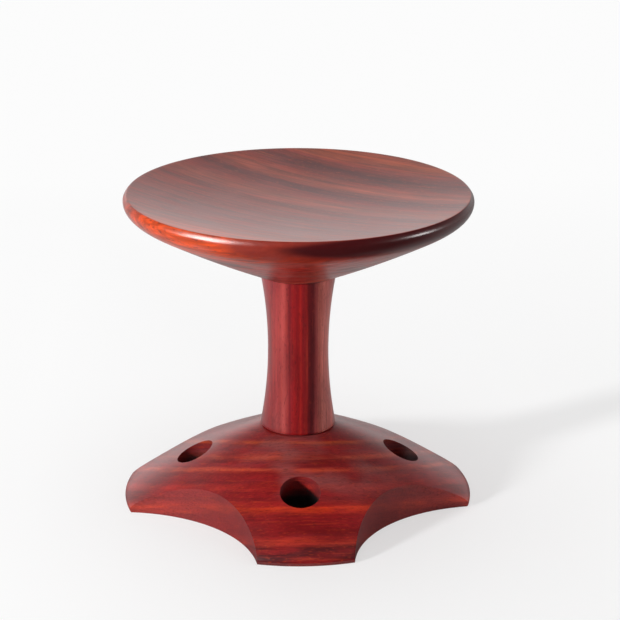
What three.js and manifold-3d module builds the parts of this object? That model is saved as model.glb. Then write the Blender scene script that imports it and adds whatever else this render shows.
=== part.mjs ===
// A pedestal stool of red hardwood: a dished round seat on a waisted column, which stands on a low
// domed base with four scallops and one slanting bore in each of the four feet between them.
// Millimetres, +Z up. The origin is on the floor, on the stool's axis, and one foot points to -Y.

import * as THREE from 'three';
import { mergeVertices } from 'three/addons/utils/BufferGeometryUtils.js';
import Module from 'manifold-3d';

const wasm = await Module();
wasm.setup();

// Base, from the floor up
const baseHeight = 95.4;
const baseRadius = 220.4;
const baseWidestHeight = 4.2;
const baseUndercut = 1.6;
const shoulderInset = 35.8;
const shoulderHeight = 29.4;
const shoulderReach = 26;
const rimReach = 4.6;
const domeCrown = 2.4;

// Scallops between the feet, cut upright, turned a little so that every other foot is wider
const footCount = 4;
const scallopRadius = 177;
const scallopWallDistance = 151.5;
const scallopTurn = THREE.MathUtils.degToRad(0.5);

// Bores, square to the dome, a little off the middle of each foot
const boreDiameter = 50;
const boreCircleRadius = 131.3;
const boreTurn = THREE.MathUtils.degToRad(-1.4);

// Column, between its two shoulders
const columnLength = 200;
const columnEndRadius = 47;
const columnWaistRadius = 37.9;
const columnFootRound = 4.5;

// Seat, from its seat on the column up to its crisp edge
const seatHeight = 104;
const seatRadius = 214.8;
const lipDrop = 8;
const lipInset = 4.5;
const lipReach = 3.8;
const rimDrop = 38.2;
const rimInset = 33;
const rimReachDown = 12.5;
const rimReachIn = 20.8;
const undersideCrown = 1.6;
const dishDepth = 15;

// Round tenons on the column, their mortises, and the wedges that spread them
const mortiseDiameter = 50;
const seatMortiseDepth = 55;
const tenonBlindGap = 1.2;
const tenonFloorGap = 1.2;
const tenonChamfer = 1.5;
const wedgeLength = 38;
const wedgeThickEnd = 8;
const wedgeThinEnd = 1.6;
const slotRunOut = 3;
const seatGrainTurn = THREE.MathUtils.degToRad(-36);

// Clearances: the glue line at each shoulder, and the fit of tenons and wedges
const glueLine = 0.3;
const fitClearance = 0.3;

// Fineness of the round forms
const discSegments = 96;
const columnSegments = 64;
const boreSegments = 48;
const scallopSegments = 144;
const longArcSteps = 10;
const waistSteps = 14;
const shortArcSteps = 6;
const weldDistance = 1e-4;

const tenonRadius = mortiseDiameter / 2 - fitClearance;
const columnFloor = baseHeight + glueLine;
const seatFloor = columnFloor + columnLength + glueLine;

// Heights above the column's lower shoulder: its two ends, and the thick ends of the wedges
const lowTenonEnd = tenonFloorGap - columnFloor;
const highTenonEnd = columnLength + glueLine + seatMortiseDepth - tenonBlindGap;
const upperWedgeEnd = columnLength + glueLine + seatMortiseDepth - fitClearance;

const point = (r, z) => new THREE.Vector2(r, z);

// The arc from one point to another whose middle stands off the chord by bow, to the left of the way.
function bowedArc(from, to, bow) {
  const chord = to.clone().sub(from);
  const half = chord.length() / 2;
  const radius = (half * half + bow * bow) / (2 * Math.abs(bow));
  const left = new THREE.Vector2(-chord.y, chord.x).normalize();
  const centre = from.clone().addScaledVector(chord, 0.5);
  centre.addScaledVector(left, bow - Math.sign(bow) * radius);
  const startAngle = Math.atan2(from.y - centre.y, from.x - centre.x);
  const endAngle = Math.atan2(to.y - centre.y, to.x - centre.x);
  return new THREE.ArcCurve(centre.x, centre.y, radius, startAngle, endAngle, bow > 0);
}

// Points along a curve after its first, so that curves follow one another in an outline.
function along(curve, steps) {
  return curve.getPoints(steps).slice(1);
}

// A turned body about +Z. Its outline runs from the underside outwards, up and back in.
function turned(outline, segments) {
  return new THREE.LatheGeometry(outline, segments).rotateX(Math.PI / 2);
}

function rod(radius, length, segments) {
  return new THREE.CylinderGeometry(radius, radius, length, segments).rotateX(Math.PI / 2);
}

function toSolid(geometry) {
  const bare = geometry.clone();
  bare.deleteAttribute('normal');
  bare.deleteAttribute('uv');
  const merged = mergeVertices(bare, weldDistance);
  const corners = merged.index.array;
  const triangles = [];
  for (let i = 0; i < corners.length; i += 3) {
    const [a, b, c] = corners.slice(i, i + 3);
    if (a !== b && b !== c && c !== a) triangles.push(a, b, c);
  }
  return new wasm.Manifold(new wasm.Mesh({
    numProp: 3,
    vertProperties: new Float32Array(merged.attributes.position.array),
    triVerts: new Uint32Array(triangles),
  }));
}

function toGeometry(solid) {
  const mesh = solid.getMesh();
  const geometry = new THREE.BufferGeometry();
  geometry.setAttribute('position', new THREE.BufferAttribute(mesh.vertProperties, 3));
  geometry.setIndex(new THREE.BufferAttribute(mesh.triVerts, 1));
  geometry.computeVertexNormals();
  return geometry;
}

function wood(color, roughness) {
  return new THREE.MeshStandardMaterial({ color, roughness, metalness: 0 });
}

function named(name, geometry, material) {
  const mesh = new THREE.Mesh(geometry, material);
  mesh.name = name;
  return mesh;
}

// The dome's profile, from the shoulder up to the land that the column stands on.
function domeArc() {
  const shoulder = point(baseRadius - shoulderInset, shoulderHeight);
  const land = point(columnEndRadius, baseHeight);
  return bowedArc(shoulder, land, -domeCrown);
}

function baseOutline() {
  const dome = domeArc();
  const shoulder = point(baseRadius - shoulderInset, shoulderHeight);
  const widest = point(baseRadius, baseWidestHeight);
  const floorEdge = point(baseRadius - baseUndercut, 0);
  const undercutPull = point(baseRadius, baseWidestHeight / 2);
  const undercut = new THREE.QuadraticBezierCurve(floorEdge, undercutPull, widest);
  const shoulderTurn = new THREE.CubicBezierCurve(
    widest,
    point(baseRadius, baseWidestHeight + rimReach),
    shoulder.clone().addScaledVector(dome.getTangent(0), -shoulderReach),
    shoulder,
  );
  const mortiseRadius = mortiseDiameter / 2;
  return [
    point(mortiseRadius, 0),
    floorEdge,
    ...along(undercut, shortArcSteps / 2),
    ...along(shoulderTurn, shortArcSteps),
    ...along(dome, longArcSteps),
    point(mortiseRadius, baseHeight),
    point(mortiseRadius, 0),
  ];
}

// One upright cutter for each scallop, half a step round from the feet.
function scallopCutters() {
  const distance = scallopWallDistance + scallopRadius;
  const cutters = [];
  for (let i = 0; i < footCount; i++) {
    const cutter = rod(scallopRadius, 3 * baseHeight, scallopSegments);
    cutter.translate(distance, 0, 0);
    const turn = i % 2 ? scallopTurn : -scallopTurn;
    cutter.rotateZ((i + 0.5) * 2 * Math.PI / footCount + turn);
    cutters.push(cutter);
  }
  return cutters;
}

// One slanting cutter for each bore. It meets the dome on the bore circle, square to the surface.
function boreCutters() {
  const dome = domeArc();
  const tilt = Math.asin((boreCircleRadius - dome.aX) / dome.xRadius);
  const height = dome.aY + dome.xRadius * Math.cos(tilt);
  const cutters = [];
  for (let i = 0; i < footCount; i++) {
    const cutter = rod(boreDiameter / 2, 2 * baseHeight + boreDiameter, boreSegments);
    cutter.rotateY(tilt);
    cutter.translate(boreCircleRadius, 0, height);
    cutter.rotateZ(i * 2 * Math.PI / footCount + boreTurn);
    cutters.push(cutter);
  }
  return cutters;
}

function makeBase() {
  let solid = toSolid(turned(baseOutline(), discSegments));
  for (const cutter of [...scallopCutters(), ...boreCutters()]) {
    solid = solid.subtract(toSolid(cutter));
  }
  return named('base', toGeometry(solid), wood(0x8e2a25, 0.36));
}

// A wedge with its thick end at z = 0 and its thin end above, as wide as the tenon is round. The
// slot for it is the same form, larger all round and run out past the tenon's end.
function wedgeBlade(clearance, runOut) {
  const slope = (wedgeThickEnd - wedgeThinEnd) / 2 / wedgeLength;
  const bottom = wedgeThickEnd / 2 + clearance + slope * runOut;
  const top = wedgeThinEnd / 2 + clearance;
  const outline = new THREE.Shape();
  outline.moveTo(-bottom, -runOut);
  outline.lineTo(bottom, -runOut);
  outline.lineTo(top, wedgeLength + clearance);
  outline.lineTo(-top, wedgeLength + clearance);
  outline.closePath();
  const width = mortiseDiameter + 2 * runOut;
  const blade = new THREE.ExtrudeGeometry(outline, { depth: width, bevelEnabled: false });
  return blade.translate(0, 0, -width / 2).rotateX(Math.PI / 2);
}

function columnOutline() {
  const foot = new THREE.ArcCurve(
    columnEndRadius - columnFootRound, columnFootRound, columnFootRound, -Math.PI / 2, 0, false,
  );
  const waist = bowedArc(
    point(columnEndRadius, columnFootRound),
    point(columnEndRadius, columnLength),
    columnEndRadius - columnWaistRadius,
  );
  return [
    point(0, lowTenonEnd),
    point(tenonRadius - tenonChamfer, lowTenonEnd),
    point(tenonRadius, lowTenonEnd + tenonChamfer),
    point(tenonRadius, 0),
    point(columnEndRadius - columnFootRound, 0),
    ...along(foot, shortArcSteps / 2),
    ...along(waist, waistSteps),
    point(tenonRadius, columnLength),
    point(tenonRadius, highTenonEnd - tenonChamfer),
    point(tenonRadius - tenonChamfer, highTenonEnd),
    point(0, highTenonEnd),
  ];
}

function makeColumn() {
  const lowerSlot = wedgeBlade(fitClearance, slotRunOut).translate(0, 0, lowTenonEnd);
  const upperSlot = wedgeBlade(fitClearance, slotRunOut).rotateX(Math.PI).rotateZ(seatGrainTurn);
  upperSlot.translate(0, 0, upperWedgeEnd);
  const solid = toSolid(turned(columnOutline(), columnSegments))
    .subtract(toSolid(lowerSlot))
    .subtract(toSolid(upperSlot));
  const column = named('column', toGeometry(solid), wood(0x9a2f2c, 0.34));
  column.position.z = columnFloor;
  return column;
}

function makeWedge(name) {
  const round = rod(tenonRadius, 4 * wedgeLength, columnSegments);
  const solid = toSolid(wedgeBlade(0, 0)).intersect(toSolid(round));
  return named(name, toGeometry(solid), wood(0xa9653f, 0.6));
}

function makeLowerWedge() {
  const wedge = makeWedge('lower_wedge');
  wedge.position.z = columnFloor + lowTenonEnd;
  return wedge;
}

function makeUpperWedge() {
  const wedge = makeWedge('upper_wedge');
  wedge.rotation.set(Math.PI, 0, seatGrainTurn, 'ZYX');
  wedge.position.z = columnFloor + upperWedgeEnd;
  return wedge;
}

function seatOutline() {
  const land = point(columnEndRadius, 0);
  const turn = point(seatRadius - rimInset, seatHeight - rimDrop);
  const widest = point(seatRadius, seatHeight - lipDrop);
  const edge = point(seatRadius - lipInset, seatHeight);
  const underside = bowedArc(land, turn, -undersideCrown);
  const rim = new THREE.CubicBezierCurve(
    turn,
    turn.clone().addScaledVector(underside.getTangent(1), rimReachIn),
    point(seatRadius, widest.y - rimReachDown),
    widest,
  );
  const lip = new THREE.QuadraticBezierCurve(widest, point(seatRadius, widest.y + lipReach), edge);
  const dishRadius = (edge.x ** 2 + dishDepth ** 2) / (2 * dishDepth);
  const dishCentre = seatHeight - dishDepth + dishRadius;
  const edgeAngle = Math.atan2(seatHeight - dishCentre, edge.x);
  const dish = new THREE.ArcCurve(0, dishCentre, dishRadius, edgeAngle, -Math.PI / 2, true);
  const mortiseRadius = mortiseDiameter / 2;
  return [
    point(0, seatMortiseDepth),
    point(mortiseRadius, seatMortiseDepth),
    point(mortiseRadius, 0),
    land,
    ...along(underside, longArcSteps),
    ...along(rim, shortArcSteps),
    ...along(lip, shortArcSteps / 2),
    ...along(dish, longArcSteps).slice(0, -1),
    point(0, seatHeight - dishDepth),
  ];
}

function makeSeat() {
  const solid = toSolid(turned(seatOutline(), discSegments));
  const seat = named('seat', toGeometry(solid), wood(0x86433c, 0.38));
  seat.position.z = seatFloor;
  return seat;
}

const stool = new THREE.Group();
stool.add(makeBase(), makeColumn(), makeSeat(), makeLowerWedge(), makeUpperWedge());

export default stool;
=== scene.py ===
# A turned and carved pedestal stool of red hardwood: seat, column and base, in a pale studio.
import math

import bmesh
import bpy
from mathutils import Euler, Matrix, Vector
from mathutils.geometry import interpolate_bezier


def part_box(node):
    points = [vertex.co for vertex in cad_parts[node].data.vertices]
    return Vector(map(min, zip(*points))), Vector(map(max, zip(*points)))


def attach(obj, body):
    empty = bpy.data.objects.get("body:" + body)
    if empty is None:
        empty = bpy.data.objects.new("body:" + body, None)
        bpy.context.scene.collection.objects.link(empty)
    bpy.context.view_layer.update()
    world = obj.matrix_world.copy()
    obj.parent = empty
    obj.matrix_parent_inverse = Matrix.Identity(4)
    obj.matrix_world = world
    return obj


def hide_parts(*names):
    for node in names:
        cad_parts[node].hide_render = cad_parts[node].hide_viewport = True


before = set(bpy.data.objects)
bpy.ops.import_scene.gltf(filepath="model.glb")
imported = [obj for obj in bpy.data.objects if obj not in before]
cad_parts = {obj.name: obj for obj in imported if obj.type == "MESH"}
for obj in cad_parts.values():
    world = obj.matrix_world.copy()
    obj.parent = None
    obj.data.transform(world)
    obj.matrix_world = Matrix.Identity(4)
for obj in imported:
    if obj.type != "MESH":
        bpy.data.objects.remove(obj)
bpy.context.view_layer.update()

print("stage: frame loaded")

mm = 0.001
up = Vector((0, 0, 1))
glueLine = 0.3  # gap at each shoulder, mm
weldDistance = 0.001  # mm


def at(radius, height):
    return Vector((radius, 0, height)) * mm


def pulled(start, pull, end, steps):
    # A curve from start to end that leaves and arrives along its pull
    return interpolate_bezier(start, start.lerp(pull, 2 / 3), end.lerp(pull, 2 / 3), end, steps + 1)


def bowed(start, end, bow, steps):
    # A shallow arc that stands off its chord by bow millimetres, outwards where bow is positive
    chord = end - start
    outward = Vector((chord.z, 0, -chord.x)).normalized()
    return pulled(start, (start + end) / 2 + outward * 2 * bow * mm, end, steps)


def newPiece(name, mesh):
    data = bpy.data.meshes.new(name)
    mesh.to_mesh(data)
    mesh.free()
    piece = bpy.data.objects.new(name, data)
    bpy.context.scene.collection.objects.link(piece)
    return piece


def turnedPiece(name, outline, steps):
    mesh = bmesh.new()
    corners = [mesh.verts.new(place) for place in outline]
    lines = [mesh.edges.new(pair) for pair in zip(corners, corners[1:])]
    bmesh.ops.spin(mesh, geom=corners + lines, axis=up, cent=(0, 0, 0), angle=2 * math.pi,
                   steps=steps, use_merge=True)
    bmesh.ops.remove_doubles(mesh, verts=mesh.verts, dist=weldDistance * mm)
    bmesh.ops.recalc_face_normals(mesh, faces=mesh.faces)
    return newPiece(name, mesh)


def rodCutter(radius, length, segments, place):
    mesh = bmesh.new()
    bmesh.ops.create_cone(mesh, cap_ends=True, segments=segments, radius1=radius * mm,
                          radius2=radius * mm, depth=length * mm, matrix=place)
    return newPiece("cutter", mesh)


def cutAway(piece, cutters):
    for cutter in cutters:
        hole = piece.modifiers.new("cut", "BOOLEAN")
        hole.operation = "DIFFERENCE"
        hole.solver = "EXACT"
        hole.object = cutter
    cut = bpy.data.meshes.new_from_object(piece.evaluated_get(bpy.context.evaluated_depsgraph_get()))
    piece.modifiers.clear()
    piece.data = cut
    for cutter in cutters:
        bpy.data.objects.remove(cutter)
    return piece


def finishPiece(piece, material, node, smoothAngle=32):
    for face in piece.data.polygons:
        face.use_smooth = True
    piece.data.set_sharp_from_angle(angle=math.radians(smoothAngle))
    piece.data.materials.clear()
    piece.data.materials.append(material)
    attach(piece, "root")
    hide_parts(node)


def srgb(code):
    parts = [int(code[i:i + 2], 16) / 255 for i in (1, 3, 5)]
    return [c / 12.92 if c <= 0.04045 else ((c + 0.055) / 1.055) ** 2.4 for c in parts] + [1]


def turns(*degrees):
    return tuple(math.radians(angle) for angle in degrees)


def addNode(tree, kind, inputs=None, stops=None, **settings):
    node = tree.nodes.new("ShaderNode" + kind)
    for name, value in settings.items():
        setattr(node, name, value)
    for socket, value in (inputs or {}).items():
        if isinstance(value, bpy.types.NodeSocket):
            tree.links.new(value, node.inputs[socket])
        else:
            node.inputs[socket].default_value = value
    if stops:
        ramp = node.color_ramp.elements
        while len(ramp) < len(stops):
            ramp.new(1)
        for element, (position, colour) in zip(ramp, stops):
            element.position = position
            element.color = colour
    return node


def newMaterial(name):
    material = bpy.data.materials.new(name)
    material.use_nodes = True
    material.node_tree.nodes.clear()
    return material


# What all the timber here shares. Lengths are in millimetres. Fibres and pores are drawn several
# times as wide as they really are, or they would not show.
timberPlan = {
    "patchRoughness": 0.55, "ringDetail": 3, "ringRoughness": 0.6,
    "fibreStretch": 18, "streakSpread": 6, "poreLength": 8, "poreShare": 0.75,
    "fibreRelief": 0.1, "fibreBump": 0.12, "roughnessSwing": 0.02,
    "markWidth": 28, "markLength": 90, "markDepth": 3,
}


# Padauk-like red hardwood, turned, sanded and wiped with a satin lacquer, so the colour looks deep
# and only a soft sheen lies on it. In its own turned frame, in millimetres, the grain runs along X
# and the growth layers follow each other along Z.
def lacqueredHardwood(name, look):
    material = newMaterial(name)
    tree = material.node_tree
    surface = addNode(tree, "TexCoord")
    spot = addNode(tree, "SeparateXYZ", {0: surface.outputs["Object"]}).outputs
    rise = addNode(tree, "SeparateXYZ", {0: surface.outputs["Normal"]}).outputs[2]
    turned = addNode(tree, "Mapping", {"Vector": surface.outputs["Object"], "Rotation": look["turn"]},
                     vector_type="TEXTURE").outputs[0]
    timber = addNode(tree, "VectorMath", {0: turned, 3: 1 / mm}, operation="SCALE").outputs[0]

    # Soft patches in the timber: the length along the grain, the width and the thickness of each in
    # millimetres, a seed that picks its place in the noise, and a detail
    seed = look["seed"]
    streak = look["streakWidth"]
    fibre = look["fibreWidth"]
    pore = fibre * timberPlan["poreShare"]
    patches = {
        "waver": (look["waverLength"], 90, 90, seed, 2),
        "ripple": (38, 14, 14, seed + 1, 2),
        "fade": (look["fadeLength"], 40, 8, seed + 3, 2),
        "clouds": (90, 40, 24, seed + 4, 2),
        "streaks": (look["streakLength"], streak * timberPlan["streakSpread"], streak, seed + 9, 3),
        "sheenAndBloom": (80, 60, 60, look["sheenAndBloomSeed"], 2),
        "fibres": (fibre * timberPlan["fibreStretch"], fibre, fibre, seed + 2, 2),
        "pores": (timberPlan["poreLength"], pore, pore, seed + 5, 1),
        "flecks": (7, 2, 2, seed + 7, 1),
    }
    noise = {}
    for patch, (length, width, thickness, start, detail) in patches.items():
        scaled = addNode(tree, "VectorMath", {0: timber, 1: (1 / length, 1 / width, 1 / thickness),
                                              2: (start, start * 2.3, start * 0.7)},
                         operation="MULTIPLY_ADD").outputs[0]
        noise[patch] = addNode(tree, "TexNoise", {"Vector": scaled, "Scale": 1, "Detail": detail,
                                                  "Roughness": timberPlan["patchRoughness"]}).outputs["Fac"]

    # The layers waver along the grain, and each has its own colour and its own fine rings
    layer = addNode(tree, "SeparateXYZ", {0: timber}).outputs[2]
    for patch in ("waver", "ripple"):
        swing = addNode(tree, "Math", {0: noise[patch], 1: 0.5}, operation="SUBTRACT").outputs[0]
        layer = addNode(tree, "Math", {0: swing, 1: look[patch], 2: layer},
                        operation="MULTIPLY_ADD").outputs[0]
    firstBand = look["bands"][0][0]
    lastBand = look["bands"][-1][0]
    stops = [((band - firstBand) / (lastBand - firstBand), srgb(code)) for band, code in look["bands"]]
    bandPlace = addNode(tree, "MapRange", {0: layer, 1: firstBand, 2: lastBand}).outputs[0]
    colour = addNode(tree, "ValToRGB", {"Fac": bandPlace}, stops=stops).outputs["Color"]
    ringPlace = addNode(tree, "Math", {0: layer, 1: look["ringWidth"]}, operation="DIVIDE").outputs[0]
    noise["rings"] = addNode(tree, "TexNoise", {"W": ringPlace, "Scale": 1,
                                                "Detail": timberPlan["ringDetail"],
                                                "Roughness": timberPlan["ringRoughness"]},
                             noise_dimensions="1D").outputs["Fac"]

    # The end grain faces the way that the fibres run, and may show less at their far end
    grainAxis = Euler(look["turn"]).to_matrix() @ Vector((1, 0, 0))
    facing = addNode(tree, "VectorMath", {0: surface.outputs["Normal"], 1: grainAxis},
                     operation="DOT_PRODUCT").outputs["Value"]
    farSide = addNode(tree, "Math", {0: facing, 1: -look["farEnd"]}, operation="MULTIPLY").outputs[0]
    facing = addNode(tree, "Math", {0: facing, 1: farSide}, operation="MAXIMUM").outputs[0]

    # Each share runs smoothly between two values of a patch, a height or a slope: where it starts,
    # where it ends, and how much there is of it at the start and at the end
    dull = look["roughness"] - timberPlan["roughnessSwing"]
    dullest = look["roughness"] + timberPlan["roughnessSwing"]
    shares = {
        "faded": (noise["fade"], 0.58, 0.4, 0, look["fade"]),
        "ringed": (noise["rings"], 0.3, 0.7, 1 - look["rings"], 1 + look["rings"]),
        "clouded": (noise["clouds"], 0.3, 0.7, 1 - look["clouds"], 1 + look["clouds"]),
        "orange": (noise["streaks"], 0.56, 0.76, 0, look["orangeStreaks"]),
        "dark": (noise["streaks"], 0.44, 0.25, 0, look["darkStreaks"]),
        "sheenedAndBrowned": (rise, 0.75, 0.97, 0, look["topSheenAndPatina"]),
        "sheenAndBloomed": (noise["sheenAndBloom"], 0.45, 0.7, 0, look["sheenAndBloom"]),
        "upward": (rise, 0.45, 0.85, 0.1, 1),
        "higherUp": (spot[2], 40 * mm, 68 * mm, 0.12, 1),
        "upright": (rise, 0.1, 0.02, 0, look["wallSheenAndBloom"]),
        "fibrous": (noise["fibres"], 0.36, 0.64, 1 - look["fibre"], 1 + look["fibre"]),
        "porous": (noise["pores"], 0.58, 0.7, 0, look["pores"]),
        "unfilled": (rise, 0.99, 0.96, 0, 1),
        "flecked": (noise["flecks"], 0.58, 0.74, 0, look["flecks"]),
        "sideways": (rise, -0.9, -0.6, 0.3, 1),
        "dulled": (noise["fibres"], 0.3, 0.7, dull, dullest),
    }
    # The pale bloom is partly a haze in the lacquer and partly a painted sheen. It lies in patches
    # on faces that look up, weaker below 68 mm and faint below 40 mm, and all over the upright carved
    # walls. On level faces the lacquer fills the pores.
    limits = [("sheenAndBloomed", "MULTIPLY", "upward"), ("sheenAndBloomed", "MULTIPLY", "higherUp"),
              ("sheenAndBloomed", "MAXIMUM", "upright"), ("porous", "MULTIPLY", "unfilled")]
    # Coats lie over each other in this order, and one without a colour lightens and darkens
    coats = [("faded", look["ground"]), ("ringed", None), ("clouded", None), ("orange", look["orange"]),
             ("dark", look["dark"])]

    if look["turningMarks"]:
        # Faint rings that the gouge left under the seat, longer than they are wide
        flat = addNode(tree, "CombineXYZ", {0: spot[0], 1: spot[1]}).outputs[0]
        radius = addNode(tree, "VectorMath", {0: flat}, operation="LENGTH").outputs["Value"]
        around = addNode(tree, "CombineXYZ", {0: radius, 1: spot[0], 2: spot[1]}).outputs[0]
        width = timberPlan["markWidth"] * mm
        length = timberPlan["markLength"] * mm
        around = addNode(tree, "VectorMath", {0: around, 1: (width, length, length)},
                         operation="DIVIDE").outputs[0]
        noise["marks"] = addNode(tree, "TexNoise", {"Vector": around, "Scale": 1,
                                                    "Detail": 2}).outputs["Fac"]
        # Faces that look down are painted lighter, a painted bounce light from the floor
        shares["paintedBounceBeneath"] = (rise, -0.75, -0.9, 1, look["paintedBounceBeneath"])
        shares["below"] = (rise, -0.2, -0.6, 0, 1)
        shares["markedPale"] = (noise["marks"], 0.5, 0.64, 0, look["turningMarks"])
        shares["markedDark"] = (noise["marks"], 0.5, 0.36, 0, look["turningMarks"])
        limits += [("markedPale", "MULTIPLY", "below"), ("markedDark", "MULTIPLY", "below")]
        coats += [("paintedBounceBeneath", None), ("markedPale", look["sheenAndBloomColour"]), ("markedDark", look["dark"])]

    # Faces that look up are painted browner: partly a painted sheen of the backdrop, partly patina from
    # light and use
    coats += [("sheenedAndBrowned", look["topSheenAndPatinaColour"]), ("sheenAndBloomed", look["sheenAndBloomColour"]), ("fibrous", None),
              ("porous", look["pore"]), ("flecked", look["orange"])]

    # Where the fibres run into the surface they drink more lacquer and look dark, less so beneath
    for step, (start, full, most, code) in enumerate(look["endGrain"]):
        shares[f"endGrain{step}"] = (facing, start, full, 0, most)
        limits.append((f"endGrain{step}", "MULTIPLY", "sideways"))
        coats.append((f"endGrain{step}", code))

    if look["depth"]:
        # A bore's wall is painted darker downwards, a painted shadow deep in the bore
        deepEnd, deepStart, deepShade = look["depth"]
        shares["deep"] = (spot[2], deepEnd * mm, deepStart * mm, deepShade, 1)
        coats.append(("deep", None))

    for share, (value, start, end, startLevel, endLevel) in shares.items():
        shares[share] = addNode(tree, "MapRange", {0: value, 1: start, 2: end, 3: startLevel, 4: endLevel},
                                interpolation_type="SMOOTHSTEP").outputs[0]
    for share, operation, limit in limits:
        shares[share] = addNode(tree, "Math", {0: shares[share], 1: shares[limit]},
                                operation=operation).outputs[0]
    for share, code in coats:
        if code:
            colour = addNode(tree, "Mix", {0: shares[share], 6: colour, 7: srgb(code)},
                             data_type="RGBA").outputs[2]
        else:
            colour = addNode(tree, "VectorMath", {0: colour, 3: shares[share]},
                             operation="SCALE").outputs[0]

    bump = addNode(tree, "Bump", {"Height": noise["fibres"], "Strength": timberPlan["fibreBump"],
                                  "Distance": timberPlan["fibreRelief"] * mm})
    if look["turningMarks"]:
        bump = addNode(tree, "Bump", {"Height": noise["marks"], "Strength": shares["below"],
                                      "Distance": timberPlan["markDepth"] * mm,
                                      "Normal": bump.outputs[0]})
    shader = addNode(tree, "BsdfPrincipled", {"Base Color": colour, "Roughness": shares["dulled"],
                                              "IOR": look["ior"], "Normal": bump.outputs[0]})
    addNode(tree, "OutputMaterial", {"Surface": shader.outputs[0]})
    return material


# Seat. Lengths are in millimetres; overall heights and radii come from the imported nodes.
seatPlan = {
    "lipDrop": 8, "lipInset": 4.5, "lipReach": 3.8, "arris": 0.8,
    "rimDrop": 38.2, "rimInset": 33, "rimReachDown": 12.5, "rimReachIn": 20.8,
    "undersideCrown": 1.6, "landRadius": 47, "dishDepth": 15,
    "mortiseRadius": 25, "mortiseDepth": 55,
    "turnSteps": 256, "undersideSteps": 30, "rimSteps": 25, "lipSteps": 10, "arrisSteps": 4,
    "dishSteps": 44,
    "wood": {
        "turn": turns(60, 0, -38), "seed": 11.7, "waver": 16, "waverLength": 300, "ripple": 4,
        "bands": [(0, "#963c24"), (45, "#9c4524"), (62, "#822c24"), (76, "#4c141c"), (90, "#4e181e"),
                  (104, "#862c22"), (120, "#9c4632"), (131, "#923c2e"), (142, "#521820"),
                  (152, "#54181f"), (165, "#802824"), (186, "#9a4734"), (195, "#8e3a2e"),
                  (206, "#6e1c1a"), (225, "#82281c"), (240, "#741e1a"), (262, "#842a20"),
                  (280, "#741a18"), (300, "#861f14"), (336, "#8a2814"), (356, "#b8380a"),
                  (367, "#cc4206"), (400, "#cc4206")],
        "ground": "#84260f", "fade": 0.3, "fadeLength": 130, "ringWidth": 8, "rings": 0.2,
        "clouds": 0.14, "streakLength": 130, "streakWidth": 7, "orangeStreaks": 0.38, "darkStreaks": 0.4,
        "orange": "#b4562a", "dark": "#3a0e12", "farEnd": 0.1,
        "endGrain": [(0.08, 0.3, 0.9, "#82241a"), (0.4, 0.6, 0.97, "#40050a")],
        "topSheenAndPatina": 0.3, "topSheenAndPatinaColour": "#6a2c22",
        "sheenAndBloom": 0.15, "sheenAndBloomColour": "#8c5450", "sheenAndBloomSeed": 17.7, "wallSheenAndBloom": 0,
        "pore": "#280809", "pores": 0.45, "flecks": 0.3, "fibre": 0.22, "fibreWidth": 4.4,
        "turningMarks": 0.7, "paintedBounceBeneath": 1.7, "depth": None,
        "roughness": 0.3, "ior": 1.42,
    },
}


def makeSeat(plan):
    low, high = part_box("seat")
    radius = high.x / mm
    floor = low.z / mm
    top = high.z / mm
    land = at(plan["landRadius"], floor)
    turn = at(radius - plan["rimInset"], top - plan["rimDrop"])
    widest = at(radius, top - plan["lipDrop"])
    edge = at(radius - plan["lipInset"], top)
    underside = bowed(land, turn, plan["undersideCrown"], plan["undersideSteps"])
    lean = (underside[-1] - underside[-2]).normalized()
    rimPull = turn + lean * plan["rimReachIn"] * mm
    rimDrop = up * plan["rimReachDown"] * mm
    rim = interpolate_bezier(turn, rimPull, widest - rimDrop, widest, plan["rimSteps"])
    lip = pulled(widest, widest + up * plan["lipReach"] * mm, edge, plan["lipSteps"])
    dishFloor = at(0, top - plan["dishDepth"])
    dishPull = at(edge.x / mm / 2, top - plan["dishDepth"])
    dish = pulled(edge, dishPull, dishFloor, plan["dishSteps"])
    # The arris between lip and dish is eased
    easing = plan["arris"] * mm
    beforeEdge = edge + (lip[-2] - edge).normalized() * easing
    afterEdge = edge + (dish[1] - edge).normalized() * easing
    arris = pulled(beforeEdge, edge, afterEdge, plan["arrisSteps"])
    mortiseTop = floor + plan["mortiseDepth"]
    outline = [at(0, mortiseTop), at(plan["mortiseRadius"], mortiseTop), at(plan["mortiseRadius"], floor)]
    outline += underside + rim[1:] + lip[1:-1] + arris + dish[1:]
    return turnedPiece("turned_seat", outline, plan["turnSteps"])


seatWood = lacqueredHardwood("seat hardwood, satin lacquer", seatPlan["wood"])
finishPiece(makeSeat(seatPlan), seatWood, "seat")
print("stage: seat made")


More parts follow.
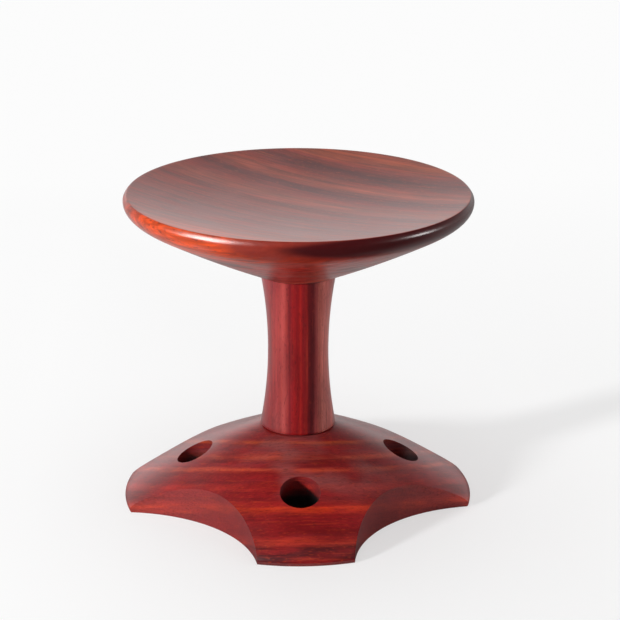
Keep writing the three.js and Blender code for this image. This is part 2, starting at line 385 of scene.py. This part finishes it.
# Column, with a tenon at each end that a wedge spreads
columnPlan = {
    "endRadius": 47, "waistRadius": 37.9, "footRound": 4.5, "tenonRadius": 24.7, "tenonChamfer": 1.5,
    "slotWidth": 8.6, "slotNarrow": 2.2, "slotDepth": 38.3, "slotLength": 59.28, "slotTurn": -36,
    "slotOverrun": 3, "wedgeStandsOut": 0.9,
    "turnSteps": 160, "waistSteps": 48, "footSteps": 6,
    "wood": {
        "turn": turns(0, 90, 0), "seed": 7.3, "waver": 5, "waverLength": 150, "ripple": 1.5,
        # The paler bands from -24 to -16 mm and the pink bands from 20 to 38 mm are partly a painted sheen
        # down the two sides of the column, over the wood's own red
        "bands": [(-48, "#80262a"), (-34, "#7e2628"), (-29, "#8e2e2e"), (-24, "#983432"),
                  (-20, "#aa403c"), (-16, "#902a2a"), (-12, "#76101a"), (-8, "#921012"),
                  (-3, "#7c0a12"), (1, "#9a1412"), (5, "#7e0c14"), (9, "#8e1614"), (11, "#660c14"),
                  (14, "#4e0810"), (17, "#5e1018"), (20, "#903434"), (25, "#b6584c"), (31, "#cc6c60"),
                  (38, "#be5a50"), (48, "#943a34")],
        "ground": "#80121a", "fade": 0.3, "fadeLength": 90, "ringWidth": 3, "rings": 0.12,
        "clouds": 0.12, "streakLength": 110, "streakWidth": 2, "orangeStreaks": 0.35, "darkStreaks": 0.4,
        "orange": "#b83c22", "dark": "#3e0c14", "farEnd": 1,
        "endGrain": [(0.3, 1, 0.8, "#4e0d10")],
        "topSheenAndPatina": 0, "topSheenAndPatinaColour": "#5a2020",
        "sheenAndBloom": 0.06, "sheenAndBloomColour": "#8a4c52", "sheenAndBloomSeed": 13.3, "wallSheenAndBloom": 0,
        "pore": "#280809", "pores": 0.35, "flecks": 0.15, "fibre": 0.05, "fibreWidth": 1.5,
        "turningMarks": 0, "depth": None,
        "roughness": 0.3, "ior": 1.4,
    },
}


def wedgeSlot(plan, place):
    # The slot narrows from the tenon's end towards the shoulder, and runs out past its sides
    mesh = bmesh.new()
    sides = Matrix.Diagonal((1, plan["slotLength"] * mm, 1, 1))
    bmesh.ops.create_cube(mesh, size=1, matrix=sides)
    overrun = plan["slotOverrun"]
    flare = (plan["slotWidth"] - plan["slotNarrow"]) / plan["slotDepth"]
    for corner in mesh.verts:
        deep = corner.co.z > 0
        width = plan["slotNarrow"] if deep else plan["slotWidth"] + flare * overrun
        corner.co.x = math.copysign(width / 2 * mm, corner.co.x)
        corner.co.z = (plan["slotDepth"] if deep else -overrun) * mm
    bmesh.ops.transform(mesh, matrix=place, verts=mesh.verts)
    return newPiece("cutter", mesh)


def makeColumn(plan):
    low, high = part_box("column")
    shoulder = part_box("base")[1].z / mm + glueLine
    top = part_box("seat")[0].z / mm - glueLine
    end = plan["endRadius"]
    tenon = plan["tenonRadius"]
    chamfer = plan["tenonChamfer"]
    foot = plan["footRound"]
    lowEnd = low.z / mm
    highEnd = high.z / mm
    waist = bowed(at(end, shoulder + foot), at(end, top), plan["waistRadius"] - end, plan["waistSteps"])
    footRound = pulled(at(end - foot, shoulder), at(end, shoulder), at(end, shoulder + foot),
                       plan["footSteps"])
    outline = [at(0, lowEnd), at(tenon - chamfer, lowEnd), at(tenon, lowEnd + chamfer),
               at(tenon, shoulder)]
    outline += footRound + waist[1:]
    outline += [at(tenon, top), at(tenon, highEnd - chamfer), at(tenon - chamfer, highEnd),
                at(0, highEnd)]
    column = turnedPiece("turned_column", outline, plan["turnSteps"])
    lowerPlace = Matrix.Translation(at(0, lowEnd))
    upperPlace = Matrix.Translation(at(0, highEnd + plan["wedgeStandsOut"]))
    upperPlace = upperPlace @ Euler(turns(180, 0, plan["slotTurn"])).to_matrix().to_4x4()
    return cutAway(column, [wedgeSlot(plan, lowerPlace), wedgeSlot(plan, upperPlace)])


columnWood = lacqueredHardwood("column hardwood, satin lacquer", columnPlan["wood"])
finishPiece(makeColumn(columnPlan), columnWood, "column")
print("stage: column made")


# Base: a low dome, scalloped to four feet, each with a slanting bore
basePlan = {
    "widestHeight": 4.2, "undercut": 1.6, "shoulderInset": 35.8, "shoulderHeight": 29.4,
    "shoulderReach": 26, "rimReach": 4.6, "domeCrown": 2.4, "landRadius": 47, "mortiseRadius": 25,
    "feet": 4, "scallopRadius": 177, "scallopWall": 151.5, "scallopTurn": 0.5, "scallopHeight": 400,
    "boreRadius": 25, "boreCircle": 131.3, "boreTurn": -1.4, "boreLength": 240,
    "turnSteps": 320, "undercutSteps": 5, "rimSteps": 25, "domeSteps": 60, "scallopSegments": 480,
    "boreSegments": 128,
    "wood": {
        "turn": turns(-21, 0, 0), "seed": 3.1, "waver": 7, "waverLength": 170, "ripple": 2.2,
        "bands": [(-100, "#801f1b"), (-79, "#93301f"), (-75, "#611419"), (-68, "#501217"),
                  (-58, "#581217"), (-54, "#a22a1f"), (-49, "#ac2c1f"), (-44, "#86181d"),
                  (-40, "#7e0f14"), (-22, "#821117"), (-17, "#ac2a17"), (-12, "#bd3219"),
                  (-8, "#a0211b"), (-3, "#7a1217"), (6, "#7e1217"), (10, "#a0241f"), (13, "#a42521"),
                  (17, "#861a1f"), (28, "#861c1f"), (32, "#b9442c"), (36, "#862124"), (43, "#7a1f24"),
                  (47, "#ac4431"), (51, "#97322c"), (56, "#7c272c"), (62, "#802728"), (66, "#b0401b"),
                  (69, "#821417"), (74, "#86181d"), (92, "#88211d"), (125, "#8d2521")],
        "ground": "#881417", "fade": 0.7, "fadeLength": 60, "ringWidth": 5, "rings": 0.1,
        "clouds": 0.2, "streakLength": 75, "streakWidth": 2.8, "orangeStreaks": 0.35, "darkStreaks": 0.35,
        "orange": "#c8441a", "dark": "#40090f", "farEnd": 1,
        "endGrain": [(0.35, 1, 0.5, "#5a1216")],
        "topSheenAndPatina": 0, "topSheenAndPatinaColour": "#5a2020",
        # The base's bloom is partly lacquer haze and partly a painted sheen on the dome and the carved
        # walls
        "sheenAndBloom": 0.65, "sheenAndBloomColour": "#8e5250", "sheenAndBloomSeed": 58.9, "wallSheenAndBloom": 0.36,
        "pore": "#300809", "pores": 0.4, "flecks": 0.25, "fibre": 0.1, "fibreWidth": 1.5,
        "turningMarks": 0, "depth": None,
        "roughness": 0.3, "ior": 1.38,
    },
}


def makeBase(plan):
    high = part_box("base")[1]
    radius = high.x / mm
    top = high.z / mm
    land = at(plan["landRadius"], top)
    shoulder = at(radius - plan["shoulderInset"], plan["shoulderHeight"])
    widest = at(radius, plan["widestHeight"])
    floorEdge = at(radius - plan["undercut"], 0)
    undercut = pulled(floorEdge, at(radius, plan["widestHeight"] / 2), widest, plan["undercutSteps"])
    dome = bowed(shoulder, land, plan["domeCrown"], plan["domeSteps"])
    lean = (dome[1] - dome[0]).normalized()
    shoulderPull = shoulder - lean * plan["shoulderReach"] * mm
    rimPull = widest + up * plan["rimReach"] * mm
    rim = interpolate_bezier(widest, rimPull, shoulderPull, shoulder, plan["rimSteps"])
    mortise = plan["mortiseRadius"]
    outline = [at(mortise, 0)] + undercut + rim[1:] + dome[1:] + [at(mortise, top), at(mortise, 0)]
    base = turnedPiece("carved_base", outline, plan["turnSteps"])

    # Each bore stands square on the dome where its axis comes out
    chord = (land - shoulder) / mm
    bow = plan["domeCrown"]
    domeRadius = (chord.length_squared / 4 + bow * bow) / (2 * bow)
    inward = Vector((-chord.z, 0, chord.x)).normalized()
    centre = (shoulder + land) / (2 * mm) + inward * (domeRadius - bow)
    tilt = math.asin((plan["boreCircle"] - centre.x) / domeRadius)
    boreMouth = at(plan["boreCircle"], centre.z + domeRadius * math.cos(tilt))
    bore = Matrix.Translation(boreMouth) @ Matrix.Rotation(tilt, 4, "Y")
    scallop = Matrix.Translation(at(plan["scallopWall"] + plan["scallopRadius"], 0))

    cutters = []
    bores = []
    for foot in range(plan["feet"]):
        sideways = plan["scallopTurn"] if foot % 2 else -plan["scallopTurn"]
        turn = (foot + 0.5) * 360 / plan["feet"] + sideways
        place = Matrix.Rotation(math.radians(turn), 4, "Z") @ scallop
        cutters.append(rodCutter(plan["scallopRadius"], plan["scallopHeight"], plan["scallopSegments"],
                                 place))
        turn = foot * 360 / plan["feet"] + plan["boreTurn"]
        place = Matrix.Rotation(math.radians(turn), 4, "Z") @ bore
        cutters.append(rodCutter(plan["boreRadius"], plan["boreLength"], plan["boreSegments"], place))
        bores.append(place.inverted())
    return cutAway(base, cutters), bores


def lineBores(piece, bores, radius, material):
    # The bore walls are the faces whose middles lie within a bore's own radius
    slack = 1.0005  # for rounding
    piece.data.materials.append(material)
    for face in piece.data.polygons:
        for bore in bores:
            if (bore @ face.center).xy.length < radius * mm * slack:
                face.material_index = 1


# The bores are drilled and left bare, so their walls look dull, and they are painted darker downwards, a
# painted shadow inside the bore
drilledWithPaintedShadePlan = {"depth": (30, 50, 0.05), "wallSheenAndBloom": 0, "roughness": 0.6}
baseWood = lacqueredHardwood("base hardwood, satin lacquer", basePlan["wood"])
boreWood = lacqueredHardwood("drilled hardwood, unlacquered, painted shade", dict(basePlan["wood"], **drilledWithPaintedShadePlan))
base, bores = makeBase(basePlan)
finishPiece(base, baseWood, "base")
lineBores(base, bores, basePlan["boreRadius"], boreWood)
print("stage: base made")

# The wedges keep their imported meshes, in a paler split hardwood without lacquer, which looks dry
wedgePlan = {
    "bands": [(-48, "#965e38"), (-20, "#8c5632"), (0, "#9c643c"), (14, "#8a5230"), (48, "#98603a")],
    "ground": "#94603a", "orange": "#a87044", "dark": "#6e4226", "endGrain": [(0.3, 1, 0.8, "#7a4c2c")],
    "sheenAndBloomColour": "#a67c5a", "pore": "#4e2e1a", "roughness": 0.6,
}
wedgeWood = lacqueredHardwood("split hardwood wedge, bare", dict(columnPlan["wood"], **wedgePlan))
for name in ("upper_wedge", "lower_wedge"):
    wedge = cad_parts[name]
    wedge.data.materials.clear()
    wedge.data.materials.append(wedgeWood)
print("stage: wedges finished")


# Studio. The camera's places are in millimetres, all others in metres. An azimuth turns from +X
# towards +Y, and a height is an angle over the floor, both in degrees. A fade runs from one place
# or direction to another: start, end, level at the start, level at the end.
studio = {
    "cameraAt": (-120.8, -2514.2, 1109.9), "cameraLooksAt": (14.55, -0.70, 246.64),
    "cameraRoll": 0.26, "lens": 124.01, "sensorWidth": 36,
    # strength, angle across, azimuth, height
    "suns": {"key": (3.1, 7, -148, 15), "top": (1.4, 70, 0, 89), "fill": (0.7, 70, -15, 25)},
    "sunDistance": 3,
    # power, size, azimuth, height
    "softBoxes": {"box": (185, (1.1, 1.4), -154, 27), "glint": (34, (0.45, 0.7), -11, 12)},
    "boxDistance": 2.4, "boxAimHeight": 0.35,
    "floorRadius": 30, "floorSegments": 96, "paper": "#f8f8f8", "mirrorDark": "#000000",
    "paperGlow": "#fdfdfd",
    "mirrorNear": (-0.35, 0.15, 0.96, 0.4), "mirrorRight": (-1, -0.2, 0.1, 1), "mirrorAhead": 0.5,
    "glowFar": (0.3, 1.5, 0.5, 0.92), "glowLeft": (-0.35, 0.12, 0.85, 0.36),
    "backdropColour": "#fcfcfc",
    # the axis of the direction looked in, then a fade along it
    "backdrop": [(1, -0.1, 0.25, 0.05, 0.9), (2, 0.15, 0.5, 1.7, 0.35), (2, 0.7, 0.92, 1, 0.1),
                 (0, -0.2, 0.9, 1.05, 0.45), (0, -0.95, -0.4, 0.2, 1), (1, 0.88, 0.99, 0.88, 1.12)],
}


def aimed(item, place, target):
    item.location = place
    item.rotation_euler = (Vector(target) - Vector(place)).to_track_quat("-Z", "Y").to_euler()
    bpy.context.scene.collection.objects.link(item)
    return item


def onCircle(distance, azimuth, height):
    turn = math.radians(azimuth)
    rise = math.radians(height)
    return Vector((distance * math.cos(rise) * math.cos(turn),
                   distance * math.cos(rise) * math.sin(turn), distance * math.sin(rise)))


camera = bpy.data.cameras.new("camera")
camera.lens = studio["lens"]
camera.sensor_width = studio["sensorWidth"]
viewer = aimed(bpy.data.objects.new("camera", camera), Vector(studio["cameraAt"]) * mm,
               Vector(studio["cameraLooksAt"]) * mm)
roll = Matrix.Rotation(math.radians(studio["cameraRoll"]), 3, "Z")
viewer.rotation_euler = (viewer.rotation_euler.to_matrix() @ roll).to_euler()
bpy.context.scene.camera = viewer

# A low broad key from the left, a soft top light and a weak fill from the right, all even over the
# whole floor. What the lacquer shows of the lamps comes from a box at the left and one at the right.
for name, (strength, angle, azimuth, height) in studio["suns"].items():
    lamp = bpy.data.lights.new(name, "SUN")
    lamp.energy = strength
    lamp.angle = math.radians(angle)
    place = onCircle(studio["sunDistance"], azimuth, height)
    sun = aimed(bpy.data.objects.new(name, lamp), place, (0, 0, 0))
    sun.visible_glossy = False

for name, (power, size, azimuth, height) in studio["softBoxes"].items():
    lamp = bpy.data.lights.new(name, "AREA")
    lamp.shape = "RECTANGLE"
    lamp.size, lamp.size_y = size
    lamp.energy = power
    middle = Vector((0, 0, studio["boxAimHeight"]))
    place = middle + onCircle(studio["boxDistance"], azimuth, height)
    softBox = aimed(bpy.data.objects.new(name, lamp), place, middle)
    softBox.visible_diffuse = False
    softBox.visible_camera = False

# The floor is a white paper sweep, matt and even. In front of the stool, what the lacquer mirrors
# of it is dimmer. The camera sees the paper a little brighter far off and at the left.
floorMesh = bmesh.new()
bmesh.ops.create_circle(floorMesh, cap_ends=True, segments=studio["floorSegments"],
                        radius=studio["floorRadius"])
floor = newPiece("floor", floorMesh)
floorPaper = newMaterial("white paper sweep")
tree = floorPaper.node_tree
rays = addNode(tree, "LightPath").outputs
spot = addNode(tree, "SeparateXYZ", {0: addNode(tree, "TexCoord").outputs["Object"]}).outputs
ahead = addNode(tree, "Math", {0: spot[1], 1: -1}, operation="MULTIPLY").outputs[0]
ahead = addNode(tree, "Math", {0: ahead, 1: studio["mirrorAhead"]}, operation="MAXIMUM").outputs[0]
slant = addNode(tree, "Math", {0: spot[0], 1: ahead}, operation="DIVIDE").outputs[0]
levels = {"mirrorNear": spot[1], "mirrorRight": slant, "glowFar": spot[1], "glowLeft": spot[0]}
for fade, value in levels.items():
    start, end, startLevel, endLevel = studio[fade]
    levels[fade] = addNode(tree, "MapRange", {0: value, 1: start, 2: end, 3: startLevel,
                                              4: endLevel}).outputs[0]
for level, operation, other in (("mirrorNear", "MULTIPLY", levels["mirrorRight"]),
                                ("mirrorNear", "MULTIPLY", rays["Is Glossy Ray"]),
                                ("glowFar", "MAXIMUM", levels["glowLeft"]),
                                ("glowFar", "MULTIPLY", rays["Is Camera Ray"])):
    levels[level] = addNode(tree, "Math", {0: levels[level], 1: other}, operation=operation).outputs[0]
paper = addNode(tree, "Mix", {0: levels["mirrorNear"], 6: srgb(studio["paper"]),
                              7: srgb(studio["mirrorDark"])}, data_type="RGBA").outputs[2]
matt = addNode(tree, "BsdfDiffuse", {"Color": paper}).outputs[0]
glow = addNode(tree, "Emission", {"Color": srgb(studio["paperGlow"])}).outputs[0]
seen = addNode(tree, "MixShader", {0: levels["glowFar"], 1: matt, 2: glow}).outputs[0]
addNode(tree, "OutputMaterial", {"Surface": seen})
floor.data.materials.append(floorPaper)

# A white backdrop stands behind, from the floor to about 50 degrees, under a dark ceiling, and is
# a little dimmer towards the right
world = bpy.data.worlds.new("studio")
bpy.context.scene.world = world
world.use_nodes = True
tree = world.node_tree
tree.nodes.clear()
rays = addNode(tree, "LightPath").outputs
towards = addNode(tree, "SeparateXYZ", {0: addNode(tree, "TexCoord").outputs["Generated"]}).outputs
strength = 1
for axis, start, end, startLevel, endLevel in studio["backdrop"]:
    fall = addNode(tree, "MapRange", {0: towards[axis], 1: start, 2: end, 3: startLevel,
                                      4: endLevel}).outputs[0]
    strength = addNode(tree, "Math", {0: fall, 1: strength}, operation="MULTIPLY").outputs[0]
strength = addNode(tree, "Math", {0: strength, 1: rays["Is Camera Ray"]}, operation="MAXIMUM").outputs[0]
sky = addNode(tree, "Background", {"Color": srgb(studio["backdropColour"]), "Strength": strength})
addNode(tree, "OutputWorld", {"Surface": sky.outputs[0]})

settings = bpy.context.scene.view_settings
settings.view_transform = "Standard"
print("stage: studio made")
